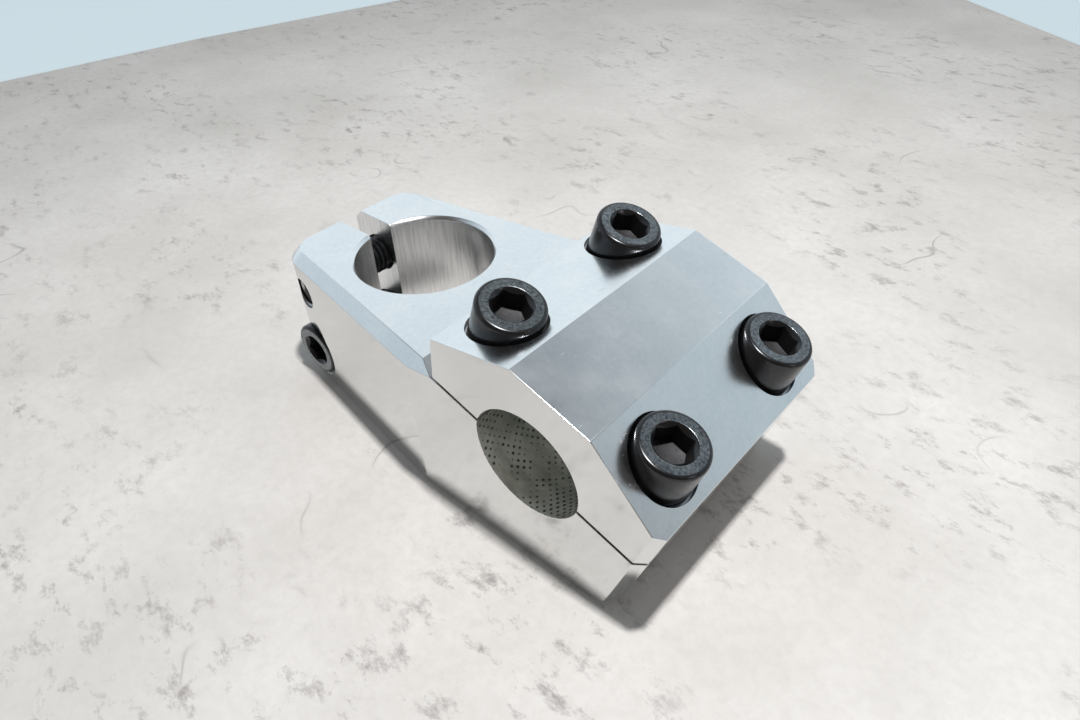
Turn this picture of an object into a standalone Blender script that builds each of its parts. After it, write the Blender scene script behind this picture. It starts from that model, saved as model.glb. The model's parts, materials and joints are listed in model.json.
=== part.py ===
"""Top-load handlebar stem: body, bar clamp cap, four clamp bolts and two pinch bolts with washers.

Run with: blender --background --python part.py, or from Blender's text editor.

Two frames carry the design, each an empty that the pieces are parented to:
  steerer_frame  on the fork steerer's axis, at the height of the body's top face
  clamp_frame    on the handlebar's axis, leaning forward, with its X-Y plane as the split of the clamp
+X points forward to the handlebar, +Y to the rider's left, +Z up along the steerer.
The world origin is the centre of the bounding box's bottom, so the stem rests on its flat underside.
"""

import math

import bmesh
import bpy
from mathutils import Matrix, Vector

MM = 0.001

# Body
STEERER_RADIUS = 14.3 * MM  # for a 28.6 mm (1 1/8 inch) steerer
STEERER_CHAMFER = 0.6 * MM
BODY_HEIGHT = 32.0 * MM
REACH = 50.0 * MM  # steerer axis to handlebar axis
BAR_DROP = 8.0 * MM  # handlebar axis below the body's top face
REAR_FACE = 26.4 * MM  # behind the steerer axis
REAR_HALF_WIDTH = 17.05 * MM
REAR_CORNER_RADIUS = 7.2 * MM
TAPER_END = 22.4 * MM  # ahead of the steerer axis, where the sides reach the clamp's width
TOP_CHAMFER = 2.2 * MM
SLOT_WIDTH = 5.5 * MM

# Bar clamp, in the clamp frame: u forward along the split, v up along the bolts
CLAMP_TILT = math.radians(18.5)
CLAMP_HALF_WIDTH = 25.0 * MM
CLAMP_FRONT = 24.4 * MM
CAP_FOOT = 21.9 * MM  # rear of the cap at the split
CAP_REAR = 23.7 * MM  # rear of the cap at its top edge
BAR_RADIUS = 11.1 * MM  # for a 22.2 mm (7/8 inch) bar
BAR_SQUEEZE = 1.75 * MM  # how far the empty clamp is closed below a round bore
SPLIT_GAP = 0.6 * MM
CAP_HEIGHT = 17.4 * MM  # split plane to the middle facet
FLAT_HALF_LENGTH = 8.0 * MM
FACET_ANGLE = math.radians(28.5)
FRONT_CHAMFER = 1.8 * MM
FRONT_ROUNDING = 8.0 * MM  # body's lower front edge

# M8 socket-head screws
HEAD_RADIUS = 6.0 * MM
HEAD_HEIGHT = 8.0 * MM
HEAD_EDGE = 0.65 * MM
HEX_ACROSS_FLATS = 6.0 * MM
HEX_DEPTH = 4.0 * MM
SHANK_RADIUS = 3.9 * MM
SHANK_LENGTH = 25.0 * MM
TIP_CHAMFER = 0.8 * MM
TAP_DRILL_RADIUS = 3.4 * MM
CLEARANCE_HOLE_RADIUS = 4.35 * MM
COUNTERBORE_RADIUS = 6.5 * MM
WASHER_RADIUS = 6.0 * MM
WASHER_THICKNESS = 1.0 * MM
SEAT_GAP = 0.3 * MM

# Where the screws sit
CLAMP_BOLT_U = 16.4 * MM
CLAMP_BOLT_Y = 15.5 * MM
CLAMP_HEAD_TOP = 17.5 * MM  # above the split plane
CLAMP_HOLE_DEPTH = 16.3 * MM  # flat-bottomed, below the split plane
PINCH_X = -19.6 * MM
PINCH_HEAD_PROUD = 1.0 * MM
PINCH_DEPTHS = {"upper": 8.9 * MM, "lower": 23.9 * MM}  # below the top face
PINCH_HEAD_SIDE = {"upper": 1, "lower": -1}  # +1 has its head on the left

OVERSHOOT = 4.0 * MM  # how far a cutter runs past what it cuts
BORE_STEPS = 72
HOLE_STEPS = 32
HEAD_STEPS = 36
ARC_STEPS = 8

# Worked out from the dimensions above
TAPER = (CLAMP_HALF_WIDTH - REAR_HALF_WIDTH) / (TAPER_END + REAR_FACE)
PINCH_SIDE = REAR_HALF_WIDTH + TAPER * (REAR_FACE + PINCH_X)  # half width at the pinch bolts
FRONT_MOST = (
    REACH
    + (CLAMP_BOLT_U + HEAD_RADIUS) * math.cos(CLAMP_TILT)
    + (CLAMP_HEAD_TOP - HEAD_EDGE) * math.sin(CLAMP_TILT)
)
ORIGIN_X = (FRONT_MOST - REAR_FACE) / 2


def clear_scene():
    for old in list(bpy.data.objects):
        bpy.data.objects.remove(old, do_unlink=True)


def new_collection(name):
    collection = bpy.data.collections.new(name)
    bpy.context.scene.collection.children.link(collection)
    return collection


def new_material(name, colour, roughness, metallic):
    material = bpy.data.materials.new(name)
    material.use_nodes = True
    shader = material.node_tree.nodes["Principled BSDF"]
    shader.inputs["Base Color"].default_value = (*colour, 1.0)
    shader.inputs["Roughness"].default_value = roughness
    shader.inputs["Metallic"].default_value = metallic
    return material


def new_frame(name, location, tilt, parent=None):
    frame = bpy.data.objects.new(name, None)
    frame.location = location
    frame.rotation_euler = (0, tilt, 0)
    frame.parent = parent
    frame.empty_display_size = 0.01
    parts.objects.link(frame)
    return frame


def in_clamp(u, v):
    """A point of the clamp's side view, as x and z in the steerer frame."""
    x = REACH + u * math.cos(CLAMP_TILT) + v * math.sin(CLAMP_TILT)
    z = -BAR_DROP - u * math.sin(CLAMP_TILT) + v * math.cos(CLAMP_TILT)
    return x, z


def rounded(corners):
    """An outline from (x, y, radius) corners, with an arc at each corner that has a radius."""
    outline = []
    for index, (x, y, radius) in enumerate(corners):
        corner = Vector((x, y))
        if not radius:
            outline.append(corner)
            continue
        before = (Vector(corners[index - 1][:2]) - corner).normalized()
        after = (Vector(corners[(index + 1) % len(corners)][:2]) - corner).normalized()
        half_angle = before.angle(after) / 2
        centre = corner + (before + after).normalized() * radius / math.sin(half_angle)
        start = corner + before * radius / math.tan(half_angle) - centre
        end = corner + after * radius / math.tan(half_angle) - centre
        sweep = start.angle_signed(end)
        for step in range(ARC_STEPS + 1):
            turned = Matrix.Rotation(-sweep * step / ARC_STEPS, 2) @ start
            outline.append(centre + turned)
    return outline


def finish_object(name, mesh, collection, parent):
    obj = bpy.data.objects.new(name, mesh)
    obj.parent = parent
    collection.objects.link(obj)
    if collection == cutters:
        obj.hide_render = True
        obj.display_type = "WIRE"
    return obj


def side_plate(name, outline, half_width, collection, parent):
    """A flat outline in the frame's X-Z plane, extruded both ways along Y, as a mesh."""
    curve = bpy.data.curves.new(name, "CURVE")
    curve.dimensions = "2D"
    curve.fill_mode = "BOTH"
    curve.extrude = half_width
    spline = curve.splines.new("POLY")
    spline.points.add(len(outline) - 1)
    for point, (x, z) in zip(spline.points, outline):
        point.co = (x, z, 0, 1)
    spline.use_cyclic_u = True
    flat = bpy.data.objects.new(name + "_outline", curve)
    bpy.context.scene.collection.objects.link(flat)
    graph = bpy.context.evaluated_depsgraph_get()
    mesh = bpy.data.meshes.new_from_object(flat.evaluated_get(graph))
    bpy.data.objects.remove(flat, do_unlink=True)
    mesh.transform(Matrix.Rotation(math.pi / 2, 4, "X"))
    shape = bmesh.new()
    shape.from_mesh(mesh)
    bmesh.ops.remove_doubles(shape, verts=shape.verts, dist=1e-6)
    bmesh.ops.recalc_face_normals(shape, faces=shape.faces)
    shape.to_mesh(mesh)
    shape.free()
    mesh.name = name
    return finish_object(name, mesh, collection, parent)


def turned(name, profile, steps, collection, parent, closed_ring=False):
    """A solid of revolution about local Z, from (radius, z) points that run down its outer side."""
    mesh = bpy.data.meshes.new(name)
    edges = [(i, i + 1) for i in range(len(profile) - 1)]
    if closed_ring:
        edges.append((len(profile) - 1, 0))
    mesh.from_pydata([(r, 0, z) for r, z in profile], edges, [])
    obj = finish_object(name, mesh, collection, parent)
    screw = obj.modifiers.new("Turn", "SCREW")
    screw.steps = steps
    screw.render_steps = steps
    screw.use_merge_vertices = True
    screw.merge_threshold = 0.00001
    return obj


def cut(obj, cutter):
    boolean = obj.modifiers.new("Cut " + cutter.name, "BOOLEAN")
    boolean.operation = "DIFFERENCE"
    boolean.object = cutter
    return boolean


def smooth_round_faces(obj, material):
    """Gives a piece its material and smooth shading that stops at real edges."""
    obj.data.materials.clear()
    obj.data.materials.append(material)
    obj.data.shade_smooth()
    obj.data.set_sharp_from_angle(angle=math.radians(30))


def plan_outline(inset, front):
    """The body seen from above, with its sides moved in by inset and run on to x = front."""
    rear_x = -REAR_FACE + inset
    sideways = inset * math.sqrt(1 + TAPER**2)
    rear_y = REAR_HALF_WIDTH + TAPER * inset - sideways
    front_y = REAR_HALF_WIDTH + TAPER * (front + REAR_FACE) - sideways
    radius = REAR_CORNER_RADIUS - inset
    corners = [
        (front, front_y, 0),
        (rear_x, rear_y, radius),
        (rear_x, -rear_y, radius),
        (front, -front_y, 0),
    ]
    return rounded(corners)


def tapered_block(name, parent):
    """The body's plan as a solid whose top edge has the 45 degree chamfer."""
    front = REACH + CLAMP_FRONT + 2 * OVERSHOOT
    outer = plan_outline(0, front)
    inner = plan_outline(TOP_CHAMFER, front)
    levels = [(outer, -BODY_HEIGHT - OVERSHOOT), (outer, -TOP_CHAMFER), (inner, 0)]
    shape = bmesh.new()
    rings = [[shape.verts.new((x, y, z)) for x, y in outline] for outline, z in levels]
    for below, above in zip(rings, rings[1:]):
        for i in range(len(below)):
            j = (i + 1) % len(below)
            shape.faces.new((below[i], below[j], above[j], above[i]))
    shape.faces.new(rings[0][::-1])
    shape.faces.new(rings[-1])
    bmesh.ops.recalc_face_normals(shape, faces=shape.faces)
    mesh = bpy.data.meshes.new(name)
    shape.to_mesh(mesh)
    shape.free()
    return finish_object(name, mesh, parts, parent)


def side_view(parent):
    """The body's side view as a plate of the clamp's full width."""
    split = -SPLIT_GAP / 2
    climb = (OVERSHOOT + BAR_DROP + split * math.cos(CLAMP_TILT)) / math.sin(CLAMP_TILT)
    over_top = in_clamp(-climb, split)
    front_top = in_clamp(CLAMP_FRONT, split)
    base = (-BODY_HEIGHT + BAR_DROP + CLAMP_FRONT * math.sin(CLAMP_TILT)) / math.cos(CLAMP_TILT)
    front_base = in_clamp(CLAMP_FRONT, base)
    rear = -REAR_FACE - OVERSHOOT
    corners = [
        (rear, over_top[1], 0),
        (*over_top, 0),
        (*front_top, 0),
        (*front_base, FRONT_ROUNDING),
        (rear, -BODY_HEIGHT, 0),
    ]
    return side_plate("side_view", rounded(corners), CLAMP_HALF_WIDTH, cutters, parent)


def steerer_bore(parent):
    wide = STEERER_RADIUS + STEERER_CHAMFER + OVERSHOOT
    low = -BODY_HEIGHT
    profile = [
        (0, OVERSHOOT),
        (wide, OVERSHOOT),
        (STEERER_RADIUS, -STEERER_CHAMFER),
        (STEERER_RADIUS, low + STEERER_CHAMFER),
        (wide, low - OVERSHOOT),
        (0, low - OVERSHOOT),
    ]
    return turned("steerer_bore", profile, BORE_STEPS, cutters, parent)


def slot(parent):
    """The saw cut from the rear face into the steerer bore."""
    bpy.ops.mesh.primitive_cube_add(size=1)
    obj = bpy.context.active_object
    obj.name = "rear_slot"
    for owner in obj.users_collection:
        owner.objects.unlink(obj)
    cutters.objects.link(obj)
    obj.hide_render = True
    obj.display_type = "WIRE"
    length = REAR_FACE + OVERSHOOT
    obj.parent = parent
    obj.scale = (length, SLOT_WIDTH, BODY_HEIGHT + 2 * OVERSHOOT)
    obj.location = (-length / 2, 0, -BODY_HEIGHT / 2)
    return obj


def bar_bore(name, squeeze, parent):
    """Half of the handlebar's bore; squeeze moves its centre along the bolts."""
    long = CLAMP_HALF_WIDTH + OVERSHOOT
    profile = [(0, long), (BAR_RADIUS, long), (BAR_RADIUS, -long), (0, -long)]
    obj = turned(name, profile, BORE_STEPS, cutters, parent)
    obj.rotation_euler = (math.pi / 2, 0, 0)
    obj.location = (0, 0, squeeze)
    return obj


def front_chamfers(parent):
    """Square bars that take the clamp's two upright front corners off at 45 degrees."""
    made = []
    size = 8 * MM
    out = (size - math.sqrt(2) * FRONT_CHAMFER) / (2 * math.sqrt(2))
    for side in (-1, 1):
        bpy.ops.mesh.primitive_cube_add(size=1)
        obj = bpy.context.active_object
        obj.name = "front_chamfer_" + ("left" if side > 0 else "right")
        for owner in obj.users_collection:
            owner.objects.unlink(obj)
        cutters.objects.link(obj)
        obj.hide_render = True
        obj.display_type = "WIRE"
        obj.parent = parent
        obj.scale = (size, size, 2 * (BODY_HEIGHT + CAP_HEIGHT))
        obj.rotation_euler = (0, 0, math.pi / 4)
        obj.location = (CLAMP_FRONT + out, side * (CLAMP_HALF_WIDTH + out), 0)
        made.append(obj)
    return made


def bolt_profile():
    """The screw's outline; z = 0 is the top of its head."""
    tip = -HEAD_HEIGHT - SHANK_LENGTH
    return [
        (0, 0),
        (HEAD_RADIUS - HEAD_EDGE, 0),
        (HEAD_RADIUS, -HEAD_EDGE),
        (HEAD_RADIUS, -HEAD_HEIGHT),
        (SHANK_RADIUS, -HEAD_HEIGHT),
        (SHANK_RADIUS, tip + TIP_CHAMFER),
        (SHANK_RADIUS - TIP_CHAMFER, tip),
        (0, tip),
    ]


def place(obj, location, rotation):
    obj.location = location
    obj.rotation_euler = rotation


def bolt(name, parent, location, rotation):
    obj = turned(name, bolt_profile(), HEAD_STEPS, parts, parent)
    place(obj, location, rotation)
    mesh = bpy.data.meshes.new(name + "_socket")
    shape = bmesh.new()
    across_corners = HEX_ACROSS_FLATS / math.sqrt(3)
    bmesh.ops.create_cone(
        shape,
        cap_ends=True,
        segments=6,
        radius1=across_corners,
        radius2=across_corners,
        depth=2 * HEX_DEPTH,
    )
    shape.to_mesh(mesh)
    shape.free()
    socket = finish_object(name + "_socket", mesh, cutters, parent)
    place(socket, location, rotation)
    cut(obj, socket)
    smooth_round_faces(obj, black_steel)
    return obj


def washer(name, parent, location, rotation):
    """z = 0 is the top of the screw's head, as for the screw."""
    top = -HEAD_HEIGHT - SEAT_GAP
    inside = SHANK_RADIUS + SEAT_GAP
    profile = [
        (inside, top),
        (WASHER_RADIUS, top),
        (WASHER_RADIUS, top - WASHER_THICKNESS),
        (inside, top - WASHER_THICKNESS),
    ]
    obj = turned(name, profile, HOLE_STEPS, parts, parent, closed_ring=True)
    place(obj, location, rotation)
    smooth_round_faces(obj, black_steel)
    return obj


def screw_hole(name, mouth, exit_hole, hole_end, parent, location, rotation):
    """A counterbored hole for one screw; z = 0 is the top of the screw's head.

    mouth is where the counterbore opens, and hole_end is where the hole stops. exit_hole leaves
    the last stretch at the tap drill's size, as where a thread runs on past the screw's tip.
    """
    floor = -HEAD_HEIGHT - 2 * SEAT_GAP - WASHER_THICKNESS
    tip = -HEAD_HEIGHT - SHANK_LENGTH
    past_tip = tip - 2 * SEAT_GAP
    profile = [
        (0, mouth),
        (COUNTERBORE_RADIUS, mouth),
        (COUNTERBORE_RADIUS, floor),
        (CLEARANCE_HOLE_RADIUS, floor),
    ]
    if exit_hole:
        profile += [
            (CLEARANCE_HOLE_RADIUS, past_tip),
            (TAP_DRILL_RADIUS, past_tip - CLEARANCE_HOLE_RADIUS + TAP_DRILL_RADIUS),
            (TAP_DRILL_RADIUS, hole_end),
            (0, hole_end),
        ]
    else:
        profile += [(CLEARANCE_HOLE_RADIUS, hole_end), (0, hole_end)]
    obj = turned(name, profile, HOLE_STEPS, cutters, parent)
    place(obj, location, rotation)
    return obj


def clamp_bolt_sites():
    for end, u in (("rear", -CLAMP_BOLT_U), ("front", CLAMP_BOLT_U)):
        for side, y in (("left", CLAMP_BOLT_Y), ("right", -CLAMP_BOLT_Y)):
            yield end + "_" + side, (u, y, CLAMP_HEAD_TOP)


def pinch_bolt_sites():
    for level, depth in PINCH_DEPTHS.items():
        side = PINCH_HEAD_SIDE[level]
        head_y = side * (PINCH_SIDE + PINCH_HEAD_PROUD)
        yield level, (PINCH_X, head_y, -depth), (-side * math.pi / 2, 0, 0)


def make_body(clamp_cutters):
    body = tapered_block("stem_body", steerer_frame)
    trim = body.modifiers.new("Side view", "BOOLEAN")
    trim.operation = "INTERSECT"
    trim.object = side_view(steerer_frame)
    cut(body, steerer_bore(steerer_frame))
    cut(body, slot(steerer_frame))
    cut(body, bar_bore("bar_bore_body", BAR_SQUEEZE / 2, clamp_frame))
    for cutter in clamp_cutters:
        cut(body, cutter)
    reach_through = -2 * PINCH_SIDE - PINCH_HEAD_PROUD - OVERSHOOT
    for level, location, rotation in pinch_bolt_sites():
        name = "pinch_hole_" + level
        hole = screw_hole(name, OVERSHOOT, True, reach_through, steerer_frame, location, rotation)
        cut(body, hole)
    smooth_round_faces(body, polished_aluminium)
    return body


def make_cap(clamp_cutters):
    split = SPLIT_GAP / 2
    slope = math.tan(FACET_ANGLE)
    rear_height = CAP_HEIGHT - slope * (CAP_REAR - FLAT_HALF_LENGTH)
    front_height = CAP_HEIGHT - slope * (CLAMP_FRONT - FLAT_HALF_LENGTH)
    outline = [
        (-CAP_FOOT, split),
        (-CAP_REAR, rear_height),
        (-FLAT_HALF_LENGTH, CAP_HEIGHT),
        (FLAT_HALF_LENGTH, CAP_HEIGHT),
        (CLAMP_FRONT, front_height),
        (CLAMP_FRONT, split),
    ]
    cap = side_plate("bar_clamp_cap", outline, CLAMP_HALF_WIDTH, parts, clamp_frame)
    cut(cap, bar_bore("bar_bore_cap", -BAR_SQUEEZE / 2, clamp_frame))
    for cutter in clamp_cutters:
        cut(cap, cutter)
    smooth_round_faces(cap, polished_aluminium)
    return cap


clear_scene()
parts = new_collection("handlebar_stem")
cutters = new_collection("cutters")

polished_aluminium = new_material("polished_aluminium", (0.77, 0.78, 0.79), 0.18, 1.0)
black_steel = new_material("black_steel", (0.035, 0.036, 0.04), 0.35, 0.8)

steerer_frame = new_frame("steerer_frame", (-ORIGIN_X, 0, BODY_HEIGHT), 0)
clamp_frame = new_frame("clamp_frame", (REACH, 0, -BAR_DROP), CLAMP_TILT, steerer_frame)

shared_cutters = front_chamfers(clamp_frame)
for site, at in clamp_bolt_sites():
    bottom = -CLAMP_HEAD_TOP - CLAMP_HOLE_DEPTH
    hole = screw_hole("hole_" + site, OVERSHOOT, False, bottom, clamp_frame, at, (0, 0, 0))
    shared_cutters.append(hole)
    bolt("clamp_bolt_" + site, clamp_frame, at, (0, 0, 0))
    washer("clamp_washer_" + site, clamp_frame, at, (0, 0, 0))
for level, at, turn in pinch_bolt_sites():
    bolt("pinch_bolt_" + level, steerer_frame, at, turn)
    washer("pinch_washer_" + level, steerer_frame, at, turn)
make_body(shared_cutters)
make_cap(shared_cutters)
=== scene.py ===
"""Looks for the top-load handlebar stem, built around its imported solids.

The body, the bar clamp cap and the six screws are replaced by finer meshes with real edge
roundings, threads and hex sockets. The washers keep their solids and get a better material.
"""

import json
import math

import bmesh
import bpy
from mathutils import Matrix, Vector


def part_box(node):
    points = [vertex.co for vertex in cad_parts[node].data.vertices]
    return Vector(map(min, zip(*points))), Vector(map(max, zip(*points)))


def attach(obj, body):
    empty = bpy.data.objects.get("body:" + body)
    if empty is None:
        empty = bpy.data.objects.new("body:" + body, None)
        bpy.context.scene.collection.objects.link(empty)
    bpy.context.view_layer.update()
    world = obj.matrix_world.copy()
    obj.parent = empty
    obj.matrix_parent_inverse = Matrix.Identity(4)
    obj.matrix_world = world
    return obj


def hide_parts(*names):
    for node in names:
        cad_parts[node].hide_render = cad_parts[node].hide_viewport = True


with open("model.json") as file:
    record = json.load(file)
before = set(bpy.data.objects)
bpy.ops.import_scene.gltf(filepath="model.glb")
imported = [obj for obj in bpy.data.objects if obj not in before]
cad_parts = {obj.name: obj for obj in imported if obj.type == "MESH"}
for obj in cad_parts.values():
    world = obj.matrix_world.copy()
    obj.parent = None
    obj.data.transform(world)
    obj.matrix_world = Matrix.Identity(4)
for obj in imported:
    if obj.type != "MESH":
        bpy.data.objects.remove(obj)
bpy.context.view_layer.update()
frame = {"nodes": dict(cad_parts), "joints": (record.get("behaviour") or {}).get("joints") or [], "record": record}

MM = 0.001
TAU = 2 * math.pi

mounts = {m["name"]: m for m in frame["record"]["mounts"]}
joints = {j["name"]: j for j in frame["joints"]}
body_low, body_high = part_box("stem_body")

# Body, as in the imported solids
STEERER_RADIUS = 14.3 * MM
STEERER_CHAMFER = 0.6 * MM
BODY_HEIGHT = body_high.z - body_low.z
TOP_CHAMFER = 2.2 * MM
SLOT_WIDTH = 5.5 * MM
REAR_CORNER_RADIUS = 7.2 * MM
REAR_HALF_WIDTH = 17.05 * MM
TAPER_END = 22.4 * MM

# Clamp
CLAMP_HALF_WIDTH = body_high.y
CLAMP_FRONT = 24.4 * MM
CAP_FOOT = 21.9 * MM
CAP_REAR = 23.7 * MM
BAR_RADIUS = 11.1 * MM
BAR_SQUEEZE = 1.75 * MM
SPLIT_GAP = 0.6 * MM
CAP_HEIGHT = 17.4 * MM
FLAT_HALF_LENGTH = 8.0 * MM
FACET_ANGLE = math.radians(28.5)
FRONT_CHAMFER = 1.8 * MM
FRONT_ROUNDING = 8.0 * MM

# M8 socket-head screws
HEAD_RADIUS = 5.96 * MM
HEAD_HEIGHT = 8.0 * MM
HEAD_EDGE = 0.74 * MM
HEX_ACROSS_FLATS = 6.0 * MM
HEX_DEPTH = 4.2 * MM
HEX_MOUTH = 0.28 * MM  # width of the countersink around the hexagon's corners
NECK_LENGTH = 0.4 * MM  # the head's mesh goes on this far below its seat
DRILL_DEPTH = 1.3 * MM  # the drill's cone below the hexagon
THREAD_CREST = 3.95 * MM
THREAD_ROOT = 3.3 * MM
THREAD_PITCH = 1.25 * MM
THREAD_START = 0.1 * MM  # below the head's seat
THREAD_END_STEP = 0.3 * MM  # how far the rod's ends are below the thread's root
SHANK_LENGTH = 25.0 * MM
HOLE_RADIUS = 4.3 * MM
TAP_DRILL_RADIUS = 3.4 * MM
COUNTERBORE_RADIUS = 6.5 * MM
WASHER_THICKNESS = 1.0 * MM
SEAT_GAP = 0.3 * MM
CLAMP_HEAD_TOP = 17.5 * MM
CLAMP_HOLE_DEPTH = 16.3 * MM
PINCH_HEAD_PROUD = 1.0 * MM

KNURL_PITCH = 1.7 * MM
OVERSHOOT = 4.0 * MM  # how far a cutter runs past the metal
HEAD_STEPS = 96
HEAD_EDGE_STEPS = 6
BORE_STEPS = 144
HOLE_STEPS = 72
ARC_STEPS = 20

# Edges and shading
EDGE_ROUNDING = 0.11 * MM
SCREW_EDGE_ROUNDING = 0.1 * MM
ROUNDED_FROM = math.radians(25)  # edges at least this sharp are rounded
SHARP = math.radians(27)  # edges at least this sharp are shaded as edges
LEVEL = math.radians(0.3)  # two faces that differ by less lie in one plane
GENTLE = math.radians(6.2)  # and by less than this, on one curved surface
NARROW = 0.06 * MM  # area over perimeter, above that of the strips on rounded edges
BROAD = 0.6 * MM  # and above that of the strips that make up a curved surface

# The two frames that the parts are designed in
steerer_axis = Vector(mounts["steerer_bore"]["pos_m"])
bar_axis = Vector(mounts["bar_bore"]["pos_m"])
lift_axis = Vector(joints["cap_lift"]["axis"])
CLAMP_TILT = math.atan2(lift_axis.x, lift_axis.z)
STEERER = Matrix.Translation((steerer_axis.x, 0, body_high.z))
CLAMP = Matrix.Translation(bar_axis) @ Matrix.Rotation(CLAMP_TILT, 4, "Y")
REACH = bar_axis.x - steerer_axis.x
BAR_DROP = body_high.z - bar_axis.z
REAR_FACE = steerer_axis.x - body_low.x
TAPER = (CLAMP_HALF_WIDTH - REAR_HALF_WIDTH) / (TAPER_END + REAR_FACE)


# ---------------------------------------------------------------- materials


class Nodes:
    """Short calls for building the node tree of a material or a world."""

    def __init__(self, owner):
        owner.use_nodes = True
        self.owner = owner
        self.tree = owner.node_tree

    def add(self, kind, inputs=None, **settings):
        node = self.tree.nodes.new("ShaderNode" + kind)
        for key, value in settings.items():
            setattr(node, key, value)
        for key, value in (inputs or {}).items():
            self.set(node.inputs[key], value)
        return node

    def set(self, socket, value):
        if isinstance(value, bpy.types.NodeSocket):
            self.tree.links.new(value, socket)
        else:
            socket.default_value = value

    def math(self, operation, *values):
        node = self.add("Math", operation=operation)
        for socket, value in zip(node.inputs, values):
            self.set(socket, value)
        return node.outputs[0]

    def coordinates(self, scale=(1, 1, 1), rotation=(0, 0, 0), location=(0, 0, 0)):
        source = self.add("TexCoord").outputs["Object"]
        inputs = {"Vector": source, "Scale": scale, "Rotation": rotation, "Location": location}
        return self.add("Mapping", inputs).outputs[0]

    def noise(self, vector, scale, detail=3.0, roughness=0.5):
        inputs = {"Vector": vector, "Scale": scale, "Detail": detail, "Roughness": roughness}
        return self.add("TexNoise", inputs).outputs["Fac"]

    def ramp(self, factor, *stops):
        node = self.add("ValToRGB", {"Fac": factor})
        elements = node.color_ramp.elements
        while len(elements) < len(stops):
            elements.new(0.5)
        for element, (position, value) in zip(elements, stops):
            element.position = position
            colour = (value,) * 3 if isinstance(value, (int, float)) else value
            element.color = (*colour, 1)
        return node.outputs["Color"]

    def mix(self, factor, a, b):
        node = self.add("Mix", data_type="RGBA")
        self.set(node.inputs["Factor"], factor)
        for key, value in (("A", a), ("B", b)):
            socket = [s for s in node.inputs if s.name == key and s.type == "RGBA"][0]
            self.set(socket, value if isinstance(value, bpy.types.NodeSocket) else (*value, 1))
        return [s for s in node.outputs if s.type == "RGBA"][0]

    def bump(self, height, distance, strength=1.0, normal=None):
        inputs = {"Height": height, "Distance": distance, "Strength": strength}
        if normal:
            inputs["Normal"] = normal
        return self.add("Bump", inputs).outputs[0]

    def surface(self, **inputs):
        """Sets the shader's inputs, whose names are written with _ for a space."""
        shader = self.tree.nodes["Principled BSDF"]
        for key, value in inputs.items():
            if isinstance(value, tuple):
                value = (*value, 1)
            self.set(shader.inputs[key.replace("_", " ")], value)
        return self.owner


def material_nodes(name):
    return Nodes(bpy.data.materials.new(name))


def polished_aluminium():
    """The upright and lower faces, which mirror the table."""
    m = material_nodes("polished_aluminium")
    cloud = m.noise(m.coordinates(), 55, 3)
    colour = m.ramp(cloud, (0.3, (0.725, 0.735, 0.735)), (0.75, (0.765, 0.77, 0.765)))
    roughness = m.ramp(cloud, (0.3, 0.07), (0.7, 0.12))
    grain = m.noise(m.coordinates(scale=(3000, 700, 3000)), 1, 2)
    normal = m.bump(grain, 0.000008, 0.05)
    return m.surface(Base_Color=colour, Metallic=1.0, Roughness=roughness, Normal=normal)


def satin_aluminium():
    """The faces that look up: a satin grain with a few short, bright scratches."""
    m = material_nodes("satin_aluminium")
    where = m.coordinates()
    cloud = m.noise(where, 90, 4, 0.6)
    grain = m.noise(where, 1100, 4, 0.75)
    shade = m.math("MULTIPLY_ADD", grain, 0.45, m.math("MULTIPLY", cloud, 0.55))
    colour = m.ramp(shade, (0.36, (0.80, 0.835, 0.87)), (0.64, (0.91, 0.93, 0.95)))
    roughness = m.ramp(cloud, (0.3, 0.19), (0.7, 0.25))
    normal = m.bump(grain, 0.00001, 0.3)
    for turn, scale in ((0.5, (4200, 420, 4200)), (-0.9, (3600, 500, 3600))):
        lines = m.noise(m.coordinates(scale=scale, rotation=(0, 0.3, turn)), 1, 1)
        thin = m.ramp(lines, (0.78, 0.0), (0.82, 1.0))
        normal = m.bump(thin, 0.00003, 1.0, normal)
    return m.surface(Base_Color=colour, Metallic=1.0, Roughness=roughness, Normal=normal)


def steerer_wall():
    """The honed steerer bore, with short upright marks."""
    m = material_nodes("honed_bore")
    lines = m.noise(m.coordinates(scale=(2600, 2600, 120)), 1, 4, 0.6)
    colour = m.ramp(lines, (0.35, (0.70, 0.71, 0.72)), (0.6, (0.92, 0.92, 0.92)))
    normal = m.bump(lines, 0.00002, 0.4)
    return m.surface(Base_Color=colour, Metallic=1.0, Roughness=0.27, Normal=normal)


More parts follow.
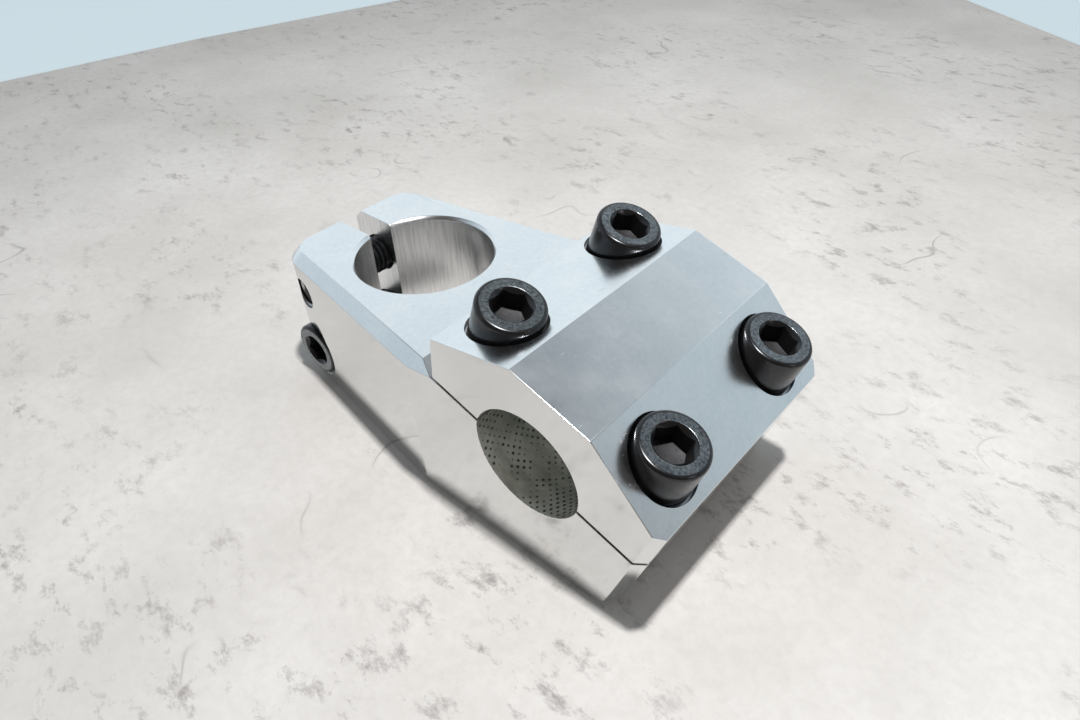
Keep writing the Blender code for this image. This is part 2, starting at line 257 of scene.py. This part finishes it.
def bar_wall():
    """The bore that holds the handlebar, marked by a knurled bar's rows of points."""
    m = material_nodes("knurl_marked_bore")
    inverse = CLAMP.inverted()
    place, turn = inverse.to_translation(), inverse.to_euler()
    parts = m.add("SeparateXYZ", {"Vector": m.coordinates(rotation=turn, location=place)})
    x, y, z = parts.outputs
    around = m.math("MULTIPLY", m.math("ARCTAN2", z, x), BAR_RADIUS)
    across = m.math("SINE", m.math("MULTIPLY", around, TAU / KNURL_PITCH))
    along = m.math("SINE", m.math("MULTIPLY", y, TAU / KNURL_PITCH))
    worn = m.noise(m.coordinates(), 240, 4, 0.7)
    depth = m.ramp(worn, (0.38, 0.05), (0.6, 1.0))
    dots = m.math("MULTIPLY", m.math("MULTIPLY", across, along), depth)
    stain = m.math("SUBTRACT", dots, m.math("MULTIPLY", worn, 0.5))
    colour = m.ramp(stain, (0.0, (0.20, 0.205, 0.19)), (0.3, (0.13, 0.135, 0.125)))
    streaks = m.noise(m.coordinates(scale=(1, 2, 1)), 100, 4, 0.6)
    clean_metal = m.ramp(streaks, (0.38, (0.55, 0.56, 0.52)), (0.62, (0.98, 0.98, 0.94)))
    colour = m.mix(m.ramp(stain, (-0.1, 1.0), (0.3, 0.0)), colour, clean_metal)
    normal = m.bump(dots, 0.0001, -0.6)
    return m.surface(Base_Color=colour, Metallic=0.8, Roughness=0.32, Normal=normal)


def hole_wall():
    """The counterbores and clearance holes."""
    m = material_nodes("drilled_aluminium")
    cloud = m.noise(m.coordinates(), 300, 2)
    colour = m.ramp(cloud, (0.3, (0.55, 0.56, 0.58)), (0.7, (0.70, 0.71, 0.73)))
    return m.surface(Base_Color=colour, Metallic=1.0, Roughness=0.3)


def tapped_wall():
    """A tapped cross hole, whose thread is a bump along Y, with painted shade in its grooves and a painted
    highlight on its crests.
    """
    m = material_nodes("tapped_aluminium")
    along = m.add("SeparateXYZ", {"Vector": m.coordinates()}).outputs["Y"]
    ridges = m.math("SINE", m.math("MULTIPLY", along, TAU / THREAD_PITCH))
    # painted shade and highlight: the colour is darker in the thread's grooves and lighter on its crests
    colour = m.ramp(ridges, (0.2, (0.45, 0.46, 0.48)), (0.9, (0.68, 0.69, 0.71)))
    normal = m.bump(ridges, 0.0003, 0.8)
    return m.surface(Base_Color=colour, Metallic=1.0, Roughness=0.3, Normal=normal)


def black_oxide(name, bright, share, gloss=0.24):
    """Black oxide on steel; share says how much of it is worn to bright flecks."""
    m = material_nodes(name)
    where = m.coordinates()
    fleck = m.noise(where, 2200, 4, 0.7)
    cloud = m.noise(where, 260, 3)
    flecks = m.ramp(fleck, (0.30, 0.0), (0.75, 1.0))
    worn = m.math("MULTIPLY", flecks, m.ramp(cloud, (0.3, 0.75), (0.7, 1.0)))
    colour = m.mix(m.math("MULTIPLY", worn, share), (0.040, 0.041, 0.044), bright)
    roughness = m.ramp(cloud, (0.3, gloss * 0.9), (0.7, gloss * 1.15))
    normal = m.bump(fleck, 0.00002, 0.35)
    return m.surface(Base_Color=colour, Metallic=0.85, Roughness=roughness, Normal=normal)


POLISHED = polished_aluminium()
SATIN = satin_aluminium()
STEERER_WALL = steerer_wall()
BAR_WALL = bar_wall()
HOLE_WALL = hole_wall()
TAPPED_WALL = tapped_wall()
SOCKET_BLACK = black_oxide("socket_black_oxide", (0.10, 0.10, 0.105), 0.5, 0.5)
BLACK = black_oxide("black_oxide_steel", (0.09, 0.092, 0.097), 0.5)
WORN_BLACK = black_oxide("worn_black_oxide", (0.44, 0.50, 0.54), 0.8)


# ---------------------------------------------------------------- shapes


def new_object(name, mesh, material=None):
    obj = bpy.data.objects.new(name, mesh)
    bpy.context.scene.collection.objects.link(obj)
    if material:
        mesh.materials.clear()
        mesh.materials.append(material)
    return obj


def object_from(shape, name, material, matrix=None):
    """Makes an object of a bmesh, with its faces turned out."""
    bmesh.ops.recalc_face_normals(shape, faces=shape.faces)
    mesh = bpy.data.meshes.new(name)
    shape.to_mesh(mesh)
    shape.free()
    if matrix:
        mesh.transform(matrix)
    return new_object(name, mesh, material)


def loft(name, rings, material, matrix=None):
    """Joins rings of points in order and closes both ends."""
    shape = bmesh.new()
    made = [[shape.verts.new(point) for point in ring] for ring in rings]
    for below, above in zip(made, made[1:]):
        for i in range(len(below)):
            j = (i + 1) % len(below)
            shape.faces.new((below[i], below[j], above[j], above[i]))
    shape.faces.new(made[0][::-1])
    shape.faces.new(made[-1])
    return object_from(shape, name, material, matrix)


def turned(name, profile, steps, material, matrix=None):
    """A solid of revolution about local Z; the profile's first and last radius may be 0."""
    shape = bmesh.new()
    rings = []
    for r, z in profile:
        if r == 0:
            rings.append([shape.verts.new((0, 0, z))])
        else:
            angles = [TAU * i / steps for i in range(steps)]
            rings.append([shape.verts.new((r * math.cos(a), r * math.sin(a), z)) for a in angles])
    for upper, lower in zip(rings, rings[1:]):
        for i in range(steps):
            j = (i + 1) % steps
            corners = [upper[i % len(upper)], upper[j % len(upper)]]
            corners += [lower[j % len(lower)], lower[i % len(lower)]]
            corners = list(dict.fromkeys(corners))
            if len(corners) > 2:
                shape.faces.new(corners)
    return object_from(shape, name, material, matrix)


def threaded_rod(name, top, bottom, end_radius, material):
    """A rod with a real helical thread along local Z that runs out at both ends."""
    columns = 48
    profile = ((0.0, THREAD_CREST), (0.14, THREAD_CREST), (0.45, THREAD_ROOT), (0.69, THREAD_ROOT))
    turns = math.ceil((top - bottom) / THREAD_PITCH) + 2
    shape = bmesh.new()

    def vertex(row, column):
        share, radius = profile[row % 4]
        drop = (share + row // 4 + column / columns - 1) * THREAD_PITCH
        z = min(max(top - drop, bottom), top)
        radius = min(radius, end_radius + min(z - bottom, top - z))
        angle = TAU * column / columns
        return shape.verts.new((radius * math.cos(angle), radius * math.sin(angle), z))

    rows = [[vertex(row, column) for column in range(columns + 1)] for row in range(4 * turns)]
    for above, below in zip(rows, rows[1:]):
        for i in range(columns):
            shape.faces.new((above[i], below[i], below[i + 1], above[i + 1]))
    bmesh.ops.remove_doubles(shape, verts=shape.verts, dist=1e-7)
    bmesh.ops.dissolve_degenerate(shape, dist=1e-7, edges=shape.edges)
    loose = [v for v in shape.verts if not v.link_faces]
    bmesh.ops.delete(shape, geom=loose, context="VERTS")
    bmesh.ops.holes_fill(shape, edges=[e for e in shape.edges if e.is_boundary], sides=0)
    return object_from(shape, name, material)


def rounded(corners):
    """An outline from (x, y, radius) corners, with an arc at each corner that has a radius."""
    outline = []
    for index, (x, y, radius) in enumerate(corners):
        corner = Vector((x, y))
        if not radius:
            outline.append(corner)
            continue
        before = (Vector(corners[index - 1][:2]) - corner).normalized()
        after = (Vector(corners[(index + 1) % len(corners)][:2]) - corner).normalized()
        half_angle = before.angle(after) / 2
        centre = corner + (before + after).normalized() * radius / math.sin(half_angle)
        start = corner + before * radius / math.tan(half_angle) - centre
        end = corner + after * radius / math.tan(half_angle) - centre
        sweep = start.angle_signed(end)
        for step in range(ARC_STEPS + 1):
            outline.append(centre + Matrix.Rotation(-sweep * step / ARC_STEPS, 2) @ start)
    return outline


def plate(name, outline, half_width, material, matrix):
    """A side view in X-Z as a solid that runs from -half_width to half_width along Y."""
    rings = [[(x, y, z) for x, z in outline] for y in (-half_width, half_width)]
    return loft(name, rings, material, matrix)


def combine(obj, cutter, operation="DIFFERENCE"):
    """Applies one Boolean at once and removes the cutter. New faces keep the cutter's material."""
    boolean = obj.modifiers.new("cut", "BOOLEAN")
    boolean.operation = operation
    boolean.solver = "EXACT"
    boolean.material_mode = "TRANSFER"
    boolean.object = cutter
    graph = bpy.context.evaluated_depsgraph_get()
    mesh = bpy.data.meshes.new_from_object(obj.evaluated_get(graph), depsgraph=graph)
    obj.modifiers.clear()
    old = obj.data
    obj.data = mesh
    bpy.data.meshes.remove(old)
    bpy.data.objects.remove(cutter, do_unlink=True)


def clean(obj):
    """Welds the points that a Boolean leaves almost in one place."""
    shape = bmesh.new()
    shape.from_mesh(obj.data)
    bmesh.ops.remove_doubles(shape, verts=shape.verts, dist=2e-6)
    bmesh.ops.dissolve_degenerate(shape, dist=1e-6, edges=shape.edges)
    shape.to_mesh(obj.data)
    shape.free()


def round_edges(obj, width=EDGE_ROUNDING):
    """Rounds every real edge with a small strip."""
    bevel = obj.modifiers.new("edges", "BEVEL")
    bevel.limit_method = "ANGLE"
    bevel.angle_limit = ROUNDED_FROM
    bevel.width = width
    bevel.segments = 3
    bevel.use_clamp_overlap = False
    bevel.miter_outer = "MITER_SHARP"
    graph = bpy.context.evaluated_depsgraph_get()
    mesh = bpy.data.meshes.new_from_object(obj.evaluated_get(graph), depsgraph=graph)
    obj.modifiers.clear()
    obj.data = mesh

    shade(mesh)


def shade(mesh):
    """Faces that lie in a plane are flat; a curved surface's and a rounded edge's are smooth."""
    shape = bmesh.new()
    shape.from_mesh(mesh)
    widths = {face: face.calc_area() / face.calc_perimeter() for face in shape.faces}
    broad = {face for face, width in widths.items() if width > BROAD}
    wide = {face for face, width in widths.items() if width > NARROW}
    plain = set(wide)
    for edge in shape.edges:
        if LEVEL < edge.calc_face_angle(0) < GENTLE and wide.issuperset(edge.link_faces):
            plain.difference_update(set(edge.link_faces) - broad)
    for _ in range(3):
        for edge in [edge for face in plain for edge in face.edges]:
            if edge.calc_face_angle(1) < LEVEL:
                plain.update(edge.link_faces)
    for face in shape.faces:
        face.smooth = face not in plain
    for edge in shape.edges:
        edge.smooth = edge.calc_face_angle(0) < SHARP
    shape.to_mesh(mesh)
    shape.free()


def in_clamp(u, v):
    """A point of the clamp's side view, as X and Z from the top of the steerer's axis."""
    point = CLAMP @ Vector((u, 0, v))
    return point.x - steerer_axis.x, point.z - body_high.z


# ---------------------------------------------------------------- screws


def screw_sites():
    """Each screw's name, the body it moves with, and its matrix, from the joints."""
    for joint in joints.values():
        if joint["name"].endswith("_turn"):
            name = joint["name"][: -len("_turn")]
            axis = Vector(joint["axis"]).normalized()
            yield name, joint["child"], screw_matrix(name, axis, Vector(joint["pos_m"]))


def screw_matrix(name, axis, point):
    """Local +Z points out of the head, and the origin is the centre of the head's top."""
    if name.startswith("clamp"):
        head = point + axis * CLAMP_HEAD_TOP
    else:
        side = 1 if axis.y > 0 else -1
        half_width = REAR_HALF_WIDTH + TAPER * (point.x - body_low.x)
        head = Vector((point.x, side * (half_width + PINCH_HEAD_PROUD), point.z))
    return Matrix.Translation(head) @ axis.to_track_quat("Z", "Y").to_matrix().to_4x4()


def hexagon(corner):
    """The six corners of a hexagon, each at the distance given from its centre."""
    return [(corner * math.cos(TAU * i / 6), corner * math.sin(TAU * i / 6)) for i in range(6)]


def build_head():
    """The screw's head with its socket; the worn top and the socket have materials of their own."""
    edge = []
    for i in range(HEAD_EDGE_STEPS + 1):
        a = math.pi / 2 * (1 - i / HEAD_EDGE_STEPS)
        edge.append((HEAD_RADIUS - HEAD_EDGE * (1 - math.cos(a)), -HEAD_EDGE * (1 - math.sin(a))))
    neck = -HEAD_HEIGHT - NECK_LENGTH
    profile = [(0, 0), *edge, (HEAD_RADIUS, -HEAD_HEIGHT), (THREAD_ROOT, -HEAD_HEIGHT)]
    profile += [(THREAD_ROOT, neck), (0, neck)]
    head = turned("screw", profile, HEAD_STEPS, BLACK)

    corner = HEX_ACROSS_FLATS / math.sqrt(3)
    ends = (-HEX_DEPTH, OVERSHOOT)
    combine(head, loft("socket", [[(x, y, z) for x, y in hexagon(corner)] for z in ends], BLACK))
    drill = HEX_ACROSS_FLATS / 2 * 0.98
    above = -HEX_DEPTH + 0.5 * MM
    cone = [(0, above), (drill, above), (drill, -HEX_DEPTH), (0, -HEX_DEPTH - DRILL_DEPTH)]
    combine(head, turned("drill_point", cone, HEAD_STEPS // 2, BLACK))
    mouth = corner + HEX_MOUTH
    cone = [(0, 1 * MM), (mouth + 1 * MM, 1 * MM), (mouth - 0.8 * MM, -0.8 * MM), (0, -0.8 * MM)]
    combine(head, turned("mouth", cone, HEAD_STEPS, BLACK))
    clean(head)

    head.data.materials.append(WORN_BLACK)
    head.data.materials.append(SOCKET_BLACK)
    for polygon in head.data.polygons:
        if polygon.normal.z > 0.99 and abs(polygon.center.z) < 1e-6:
            polygon.material_index = 1
        elif polygon.center.z < -0.9 * MM and polygon.center.xy.length < corner * 0.99:
            polygon.material_index = 2
    round_edges(head, SCREW_EDGE_ROUNDING)
    return head


def build_screw_mesh():
    """The head and the threaded rod in one mesh that all six screws copy."""
    start = -HEAD_HEIGHT - THREAD_START
    tip = -HEAD_HEIGHT - SHANK_LENGTH
    head = build_head()
    rod = threaded_rod("thread", start, tip, THREAD_ROOT - THREAD_END_STEP, BLACK)
    rod.data.shade_smooth()
    rod.data.set_sharp_from_angle(angle=math.radians(28))
    shape = bmesh.new()
    for part in (head, rod):
        shape.from_mesh(part.data)
    mesh = bpy.data.meshes.new("socket_head_screw")
    shape.to_mesh(mesh)
    shape.free()
    for material in head.data.materials:
        mesh.materials.append(material)
    for part in (head, rod):
        bpy.data.objects.remove(part, do_unlink=True)
    return mesh


# How far each screw's hexagon is turned at rest, in degrees
HEX_TURN = {
    "clamp_bolt_rear_left": 20,
    "clamp_bolt_rear_right": 5,
    "clamp_bolt_front_left": 12,
    "clamp_bolt_front_right": 28,
    "pinch_bolt_upper": 0,
    "pinch_bolt_lower": 15,
}

screw_mesh = build_screw_mesh()
sites = list(screw_sites())
for name, body, matrix in sites:
    mesh = screw_mesh.copy()
    mesh.transform(matrix @ Matrix.Rotation(math.radians(HEX_TURN[name]), 4, "Z"))
    screw = new_object(name + "_screw", mesh)
    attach(screw, body)
    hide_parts(name)

for name, node in frame["nodes"].items():
    if "washer" in name:
        node.data.materials.clear()
        node.data.materials.append(BLACK)


# ---------------------------------------------------------------- body and cap


def screw_hole(name, matrix, hole_end):
    """Counterbore and clearance hole of one screw; z = 0 is the top of its head."""
    floor = -HEAD_HEIGHT - 2 * SEAT_GAP - WASHER_THICKNESS
    profile = [
        (0, OVERSHOOT),
        (COUNTERBORE_RADIUS, OVERSHOOT),
        (COUNTERBORE_RADIUS, floor),
        (HOLE_RADIUS, floor),
        (HOLE_RADIUS, hole_end),
        (0, hole_end),
    ]
    return turned(name, profile, HOLE_STEPS, HOLE_WALL, matrix)


def tapped_exit(name, matrix):
    """The open end of a tapped hole, from the pinch screw's tip to beyond the far side."""
    start = -HEAD_HEIGHT - SHANK_LENGTH
    end = -2 * REAR_HALF_WIDTH - 3 * OVERSHOOT
    profile = [(0, start), (TAP_DRILL_RADIUS, start), (TAP_DRILL_RADIUS, end), (0, end)]
    return turned(name, profile, HOLE_STEPS, TAPPED_WALL, matrix)


def bar_bore(name, shift):
    """The handlebar's round bore, moved along the clamp's axis by shift."""
    long = CLAMP_HALF_WIDTH + OVERSHOOT
    matrix = CLAMP @ Matrix.Translation((0, 0, shift)) @ Matrix.Rotation(math.pi / 2, 4, "X")
    profile = [(0, long), (BAR_RADIUS, long), (BAR_RADIUS, -long), (0, -long)]
    return turned(name, profile, BORE_STEPS, BAR_WALL, matrix)


def front_chamfer(side):
    """A square bar that takes one upright front corner off at 45 degrees."""
    size = 2 * OVERSHOOT
    out = (size - math.sqrt(2) * FRONT_CHAMFER) / (2 * math.sqrt(2))
    long = BODY_HEIGHT + CAP_HEIGHT
    half = size / 2
    square = [(half, half), (-half, half), (-half, -half), (half, -half)]
    place = Matrix.Translation((CLAMP_FRONT + out, side * (CLAMP_HALF_WIDTH + out), 0))
    matrix = CLAMP @ place @ Matrix.Rotation(math.pi / 4, 4, "Z")
    rings = [[(x, y, z) for x, y in square] for z in (-long, long)]
    return loft("front_chamfer", rings, POLISHED, matrix)


def plan_outline(inset, front):
    """The body from above, as far as X = front, with its sides and rear moved in by inset."""
    rear_x = -REAR_FACE + inset
    sideways = inset * math.sqrt(1 + TAPER**2)
    rear_y = REAR_HALF_WIDTH + TAPER * inset - sideways
    front_y = REAR_HALF_WIDTH + TAPER * (front + REAR_FACE) - sideways
    radius = REAR_CORNER_RADIUS - inset
    corners = [(front, front_y, 0), (rear_x, rear_y, radius)]
    corners += [(x, -y, r) for x, y, r in reversed(corners)]
    return rounded(corners)


def make_satin(obj):
    """Gives the polished faces that look up the satin finish."""
    materials = obj.data.materials
    polished = list(materials).index(POLISHED)
    materials.append(SATIN)
    for polygon in obj.data.polygons:
        if polygon.material_index == polished and polygon.normal.z > 0.5:
            polygon.material_index = len(materials) - 1


def build_body():
    front = REACH + CLAMP_FRONT + 2 * OVERSHOOT
    outer = plan_outline(0, front)
    inner = plan_outline(TOP_CHAMFER, front)
    levels = [(outer, -BODY_HEIGHT - OVERSHOOT), (outer, -TOP_CHAMFER), (inner, 0)]
    rings = [[(x, y, z) for x, y in outline] for outline, z in levels]
    body = loft("body", rings, POLISHED, STEERER)

    split = -SPLIT_GAP / 2
    climb = (OVERSHOOT + BAR_DROP + split * math.cos(CLAMP_TILT)) / math.sin(CLAMP_TILT)
    over_top = in_clamp(-climb, split)
    base = (-BODY_HEIGHT + BAR_DROP + CLAMP_FRONT * math.sin(CLAMP_TILT)) / math.cos(CLAMP_TILT)
    rear = -REAR_FACE - OVERSHOOT
    corners = [
        (rear, over_top[1], 0),
        (*over_top, 0),
        (*in_clamp(CLAMP_FRONT, split), 0),
        (*in_clamp(CLAMP_FRONT, base), FRONT_ROUNDING),
        (rear, -BODY_HEIGHT, 0),
    ]
    combine(body, plate("side", rounded(corners), CLAMP_HALF_WIDTH, POLISHED, STEERER), "INTERSECT")
    for side in (-1, 1):
        combine(body, front_chamfer(side))

    half_slot = SLOT_WIDTH / 2
    opening = math.asin(half_slot / STEERER_RADIUS)
    sweep = TAU - 2 * opening
    keyhole = []
    for i in range(BORE_STEPS + 1):
        a = math.pi - opening - sweep * i / BORE_STEPS
        keyhole.append((STEERER_RADIUS * math.cos(a), STEERER_RADIUS * math.sin(a)))
    slot_end = -REAR_FACE - OVERSHOOT
    keyhole += [(slot_end, -half_slot), (slot_end, half_slot)]
    ends = (-BODY_HEIGHT - OVERSHOOT, OVERSHOOT)
    rings = [[(x, y, z) for x, y in keyhole] for z in ends]
    combine(body, loft("keyhole", rings, STEERER_WALL, STEERER))
    rim = STEERER_RADIUS + STEERER_CHAMFER
    cone = [(0, OVERSHOOT), (rim + OVERSHOOT, OVERSHOOT), (rim - 1 * MM, -1 * MM), (0, -1 * MM)]
    for turn, height in ((0, 0), (math.pi, -BODY_HEIGHT)):
        matrix = STEERER @ Matrix.Translation((0, 0, height)) @ Matrix.Rotation(turn, 4, "X")
        combine(body, turned("rim", cone, BORE_STEPS, POLISHED, matrix))
    combine(body, bar_bore("bar", BAR_SQUEEZE / 2))

    clamp_hole_end = -CLAMP_HEAD_TOP - CLAMP_HOLE_DEPTH
    pinch_hole_end = -HEAD_HEIGHT - SHANK_LENGTH - 2 * SEAT_GAP
    for name, _, matrix in sites:
        if name.startswith("clamp"):
            combine(body, screw_hole(name + "_hole", matrix, clamp_hole_end))
        else:
            combine(body, screw_hole(name + "_hole", matrix, pinch_hole_end))
            combine(body, tapped_exit(name + "_exit", matrix))
    clean(body)
    make_satin(body)
    round_edges(body)
    return body


def build_cap():
    split = SPLIT_GAP / 2
    slope = math.tan(FACET_ANGLE)
    outline = [
        (-CAP_FOOT, split),
        (-CAP_REAR, CAP_HEIGHT - slope * (CAP_REAR - FLAT_HALF_LENGTH)),
        (-FLAT_HALF_LENGTH, CAP_HEIGHT),
        (FLAT_HALF_LENGTH, CAP_HEIGHT),
        (CLAMP_FRONT, CAP_HEIGHT - slope * (CLAMP_FRONT - FLAT_HALF_LENGTH)),
        (CLAMP_FRONT, split),
    ]
    cap = plate("cap", outline, CLAMP_HALF_WIDTH, POLISHED, CLAMP)
    combine(cap, bar_bore("bar", -BAR_SQUEEZE / 2))
    for side in (-1, 1):
        combine(cap, front_chamfer(side))
    for name, _, matrix in sites:
        if name.startswith("clamp"):
            combine(cap, screw_hole(name + "_hole", matrix, -CLAMP_HEAD_TOP - OVERSHOOT))
    clean(cap)
    make_satin(cap)
    round_edges(cap)
    return cap


body = build_body()
body.name = "body"
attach(body, "stem")
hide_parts("stem_body")

cap = build_cap()
cap.name = "cap"
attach(cap, "cap")
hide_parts("bar_clamp_cap")


# ---------------------------------------------------------------- stage, light and camera


# The table top's outline in metres, from the steerer's axis
TABLE_EDGE = (
    (-0.90, -2.50),
    (-0.293, 0.010),
    (-0.273, 0.095),
    (-0.240, 0.195),
    (-0.150, 0.310),
    (-0.060, 0.365),
    (-0.002, 0.355),
    (0.057, 0.316),
    (2.45, -1.20),
    (2.45, -2.50),
)
TABLE_HEIGHT = 0.25
ROOM_HALF_WIDTH = 4.0
WINDOW_SIDE = (-math.sqrt(0.5), math.sqrt(0.5), 0)
CAMERA_PLACE = (0.083963, -0.083998, 0.116211)
CAMERA_TURN = (49.809, 1.971, 41.225)  # degrees
CAMERA_LENS = 25.66


def table_material():
    """Pale, with soft clouds, sparse dark marks and a few fine hairs."""
    m = material_nodes("table")
    cloud = m.noise(m.coordinates(), 14, 5, 0.6)
    colour = m.ramp(cloud, (0.32, (0.64, 0.615, 0.59)), (0.68, (0.81, 0.785, 0.765)))
    grain = m.ramp(m.noise(m.coordinates(), 420, 4, 0.7), (0.35, 1.0), (0.6, 0.0))
    colour = m.mix(m.math("MULTIPLY", grain, 0.25), colour, (0.55, 0.52, 0.50))

    spots = m.noise(m.coordinates(scale=(1, 1.7, 1), rotation=(0, 0, 0.6)), 110, 5, 0.75)
    patches = m.noise(m.coordinates(location=(3, 1, 0)), 17, 2)
    patches = m.ramp(patches, (0.40, 0.0), (0.58, 1.0))
    marks = m.math("MULTIPLY", m.ramp(spots, (0.54, 0.0), (0.68, 1.0)), patches)

    lines = m.noise(m.coordinates(location=(1, 5, 0)), 24, 2)
    near = m.math("ABSOLUTE", m.math("SUBTRACT", lines, 0.5))
    areas = m.noise(m.coordinates(location=(7, 2, 0)), 30, 2)
    areas = m.ramp(areas, (0.60, 0.0), (0.70, 1.0))
    hairs = m.math("MULTIPLY", m.ramp(near, (0.0, 1.0), (0.005, 0.0)), areas)

    dirt = m.math("MULTIPLY", m.math("MAXIMUM", marks, hairs), 0.7)
    colour = m.mix(dirt, colour, (0.24, 0.22, 0.215))
    return m.surface(Base_Color=colour, Roughness=0.7)


def make_floor():
    """The table top, and the room's floor far below it."""
    shape = bmesh.new()
    shape.faces.new([shape.verts.new((steerer_axis.x + x, y, 0)) for x, y in TABLE_EDGE])
    floor = object_from(shape, "floor", table_material())
    if floor.data.polygons[0].normal.z < 0:
        floor.data.flip_normals()

    shape = bmesh.new()
    bmesh.ops.create_grid(shape, x_segments=1, y_segments=1, size=ROOM_HALF_WIDTH)
    m = material_nodes("room_floor")
    glow = {"Emission_Color": (0.74, 0.88, 0.95), "Emission_Strength": 0.48}
    m.surface(Base_Color=(0.74, 0.83, 0.87), Roughness=0.9, **glow)
    beyond = object_from(shape, "beyond", m.owner)
    beyond.location.z = -TABLE_HEIGHT


def make_world():
    """A room with a bright window low down behind the part and a dim, warm front side."""
    w = Nodes(bpy.data.worlds.new("room"))
    direction = w.add("TexCoord").outputs["Generated"]
    facing = w.add("VectorMath", {0: direction, 1: WINDOW_SIDE}, operation="DOT_PRODUCT")
    halved = w.add("MapRange", {"Value": facing.outputs["Value"], "From Min": -1})
    walls = w.ramp(
        halved.outputs[0],
        (0.0, (0.10, 0.08, 0.065)),
        (0.3, (0.13, 0.105, 0.09)),
        (0.46, (0.475, 0.55, 0.585)),
        (0.6, (0.54, 0.62, 0.67)),
        (0.85, (0.81, 0.89, 0.93)),
        (1.0, (0.84, 0.92, 0.95)),
    )
    height = w.add("SeparateXYZ", {"Vector": direction}).outputs["Z"]
    dimming = w.ramp(height, (0.60, 1.0), (0.78, (0.54, 0.55, 0.56)), (0.92, 0.12))
    background = w.tree.nodes["Background"]
    w.set(background.inputs["Color"], walls)
    w.set(background.inputs["Strength"], dimming)
    bpy.context.scene.world = w.owner


def area_light(name, place, target, size, power, colour):
    light = bpy.data.lights.new(name, "AREA")
    light.shape = "RECTANGLE"
    light.size, light.size_y = size
    light.energy = power
    light.color = colour
    obj = bpy.data.objects.new(name, light)
    bpy.context.scene.collection.objects.link(obj)
    obj.location = place
    obj.rotation_euler = (Vector(target) - Vector(place)).to_track_quat("-Z", "Y").to_euler()


def make_camera():
    camera = bpy.data.cameras.new("camera")
    camera.lens = CAMERA_LENS
    camera.sensor_width = 36
    camera.clip_start = 0.01
    obj = bpy.data.objects.new("camera", camera)
    bpy.context.scene.collection.objects.link(obj)
    obj.location = CAMERA_PLACE
    obj.rotation_euler = [math.radians(a) for a in CAMERA_TURN]
    bpy.context.scene.camera = obj


make_floor()
make_world()
area_light("key", (0.085, -0.007, 0.45), (0.02, 0, 0), (0.022, 0.022), 1.85, (1.0, 0.99, 0.975))
area_light("glint", (0.62, 0.12, 0.28), (0, 0, 0.03), (0.06, 0.06), 0.12, (1.0, 1.0, 1.0))
make_camera()
bpy.context.scene.view_settings.view_transform = "Standard"
